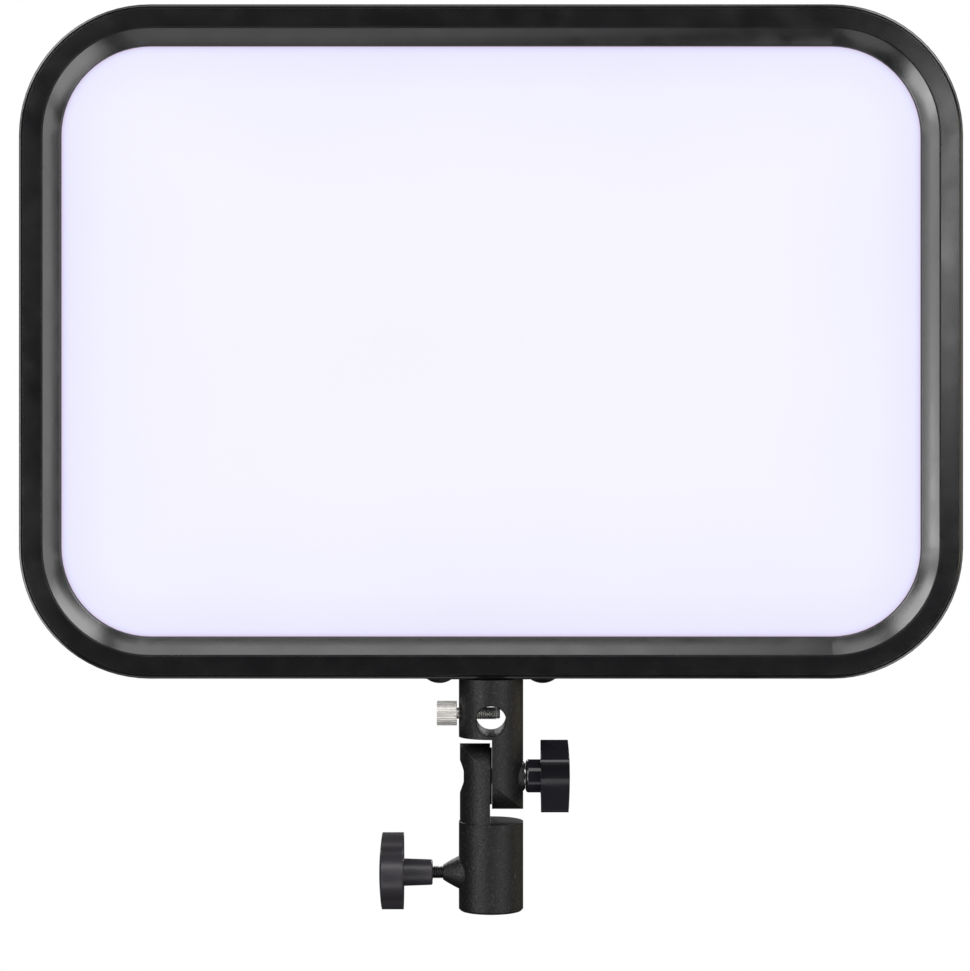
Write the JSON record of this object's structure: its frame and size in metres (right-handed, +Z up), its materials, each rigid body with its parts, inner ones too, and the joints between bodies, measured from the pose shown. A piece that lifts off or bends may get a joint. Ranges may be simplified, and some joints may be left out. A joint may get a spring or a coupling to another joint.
{
  "type": "led panel light",
  "caption": "Flat edge-lit soft panel with rounded corners, rear controls, and a half-lap tilt bracket with umbrella hole and stand spigot socket.",
  "frame": {"origin": "centre of the stand spigot socket's mouth, on the socket's axis", "axes": "+Z up along the socket's axis; the lit face looks along -Y; +X to the right of a viewer who faces the light, along the tilt axis"},
  "size_m": [0.364, 0.0543, 0.3511],
  "materials": {
    "bezel_black": "fine satin grain, moulded",
    "cover_black": "fine moulded texture",
    "housing_black": "fine moulded texture",
    "bracket_black": "fine-grained black powder coat over cast alloy",
    "diffuser_lit": "opal acrylic, lit from behind",
    "seal_black": "black foam tape",
    "film_white": "satin white film",
    "guide_clear": "clear acrylic",
    "spreader_aluminium": "mill finish sheet",
    "spacer_aluminium": "turned",
    "board_white": "white solder mask",
    "board_green": "green solder mask",
    "led_warm": "warm phosphor",
    "led_cool": "cool phosphor",
    "component_dark": "epoxy and sleeved cans",
    "screw_black": "black oxide",
    "steel_zinc": "bright zinc plate",
    "nickel": "nickel plate over brass, straight knurl",
    "brass": "turned brass",
    "washer_nylon": "black nylon",
    "knob_gloss": "glossy black moulding",
    "knob_satin": "satin dark grey moulding",
    "control_knob_black": "soft-touch black",
    "window_smoked": "smoked clear cover",
    "display_dark": "display glass",
    "switch_black": "glossy black nylon",
    "key_grey": "grey keycap",
    "release_grey": "grey release key"
  },
  "bodies": {
    "stand": {"stand_socket": "bracket_black", "tilt_bolt": "screw_black", "friction_washer": "washer_nylon"},
    "panel": {"front_bezel": "bezel_black", "rear_cover": "cover_black", "control_housing": "housing_black", "light_seal": "seal_black", "diffuser": "diffuser_lit", "diffusion_film": "film_white", "light_guide": "guide_clear", "reflector_sheet": "film_white", "heat_spreader": "spreader_aluminium", "led_boards": "board_white", "warm_leds": "led_warm", "cool_leds": "led_cool", "driver_board": "board_green", "control_board": "board_green", "driver_components": "component_dark", "board_spacers": "spacer_aluminium", "board_screws": "steel_zinc", "cover_screws": "screw_black", "housing_screws": "screw_black", "plate_screws": "steel_zinc", "display_window": "window_smoked", "display_module": "display_dark", "potentiometers": "component_dark", "tact_switches": "component_dark", "switch_body": "switch_black", "dc_inlet": "switch_black", "battery_plate": "housing_black", "battery_contacts": "brass", "mount_block": "spacer_aluminium", "swivel_screw": "screw_black", "bracket_foot": "bracket_black", "foot_screws": "screw_black", "upper_swivel": "bracket_black"},
    "lock_washer": {"tilt_washer": "steel_zinc"},
    "lock_knob": {"tilt_knob": "knob_gloss", "tilt_knob_insert": "brass"},
    "clamp_tip": {"clamp_pad": "brass"},
    "clamp_handle": {"clamp_knob": "knob_satin", "clamp_screw": "screw_black"},
    "umbrella_tip": {"umbrella_lock_pad": "nickel"},
    "umbrella_screw": {"umbrella_lock_screw": "nickel"},
    "brightness_control": {"brightness_knob": "control_knob_black", "brightness_shaft": "spacer_aluminium"},
    "colour_control": {"colour_knob": "control_knob_black", "colour_shaft": "spacer_aluminium"},
    "mode_key": {"mode_button": "key_grey"},
    "channel_key": {"channel_button": "key_grey"},
    "power_switch": {"power_rocker": "switch_black"},
    "battery_catch": {"battery_release": "release_grey"}
  },
  "joints": [
    {"name": "panel_tilt", "type": "hinge", "parent": "stand", "child": "panel", "pos_m": [0, 0, 0.052], "axis": [1, 0, 0], "range_deg": [-90, 90]},
    {"name": "tilt_lock_travel", "type": "slide", "parent": "stand", "child": "lock_washer", "axis": [1, 0, 0], "range_m": [0, 0.003]},
    {"name": "tilt_lock_turn", "type": "hinge", "parent": "lock_washer", "child": "lock_knob", "pos_m": [0, 0, 0.052], "axis": [1, 0, 0], "range_deg": [0, 1080.5]},
    {"name": "clamp_travel", "type": "slide", "parent": "stand", "child": "clamp_tip", "axis": [1, 0, 0], "range_m": [-0.0016, 0.0038]},
    {"name": "clamp_turn", "type": "hinge", "parent": "clamp_tip", "child": "clamp_handle", "pos_m": [0, 0, 0.0146], "axis": [1, 0, 0], "range_deg": [-720.5, 1710.5]},
    {"name": "umbrella_lock_travel", "type": "slide", "parent": "panel", "child": "umbrella_tip", "axis": [1, 0, 0], "range_m": [-0.0096, 0.0008]},
    {"name": "umbrella_lock_turn", "type": "hinge", "parent": "umbrella_tip", "child": "umbrella_screw", "pos_m": [0, 0, 0.0764], "axis": [1, 0, 0], "range_deg": [-4320.5, 360.5]},
    {"name": "brightness_turn", "type": "hinge", "parent": "panel", "child": "brightness_control", "pos_m": [0.008, 0.033, 0.2108], "axis": [0, 1, 0], "range_deg": [-150, 150]},
    {"name": "colour_turn", "type": "hinge", "parent": "panel", "child": "colour_control", "pos_m": [0.044, 0.033, 0.2108], "axis": [0, 1, 0], "range_deg": [-150, 150]},
    {"name": "mode_press", "type": "slide", "parent": "panel", "child": "mode_key", "axis": [0, -1, 0], "range_m": [0, 0.0008], "stiffness_N_per_m": 500, "springref_m": -0.0008},
    {"name": "channel_press", "type": "slide", "parent": "panel", "child": "channel_key", "axis": [0, -1, 0], "range_m": [0, 0.0008], "stiffness_N_per_m": 500, "springref_m": -0.0008},
    {"name": "power_rock", "type": "hinge", "parent": "panel", "child": "power_switch", "pos_m": [0.0768, 0.0186, 0.2428], "axis": [0, 1, 0], "range_deg": [0, 18]},
    {"name": "battery_release_press", "type": "slide", "parent": "panel", "child": "battery_catch", "axis": [0, -1, 0], "range_m": [0, 0.002], "stiffness_N_per_m": 400, "springref_m": -0.001}
  ],
  "couplings": [
    {"joint": "tilt_lock_turn", "follows": "tilt_lock_travel", "rad_per_m": 6283.2},
    {"joint": "clamp_turn", "follows": "clamp_travel", "rad_per_m": 7854},
    {"joint": "umbrella_lock_turn", "follows": "umbrella_lock_travel", "rad_per_m": 7854}
  ]
}
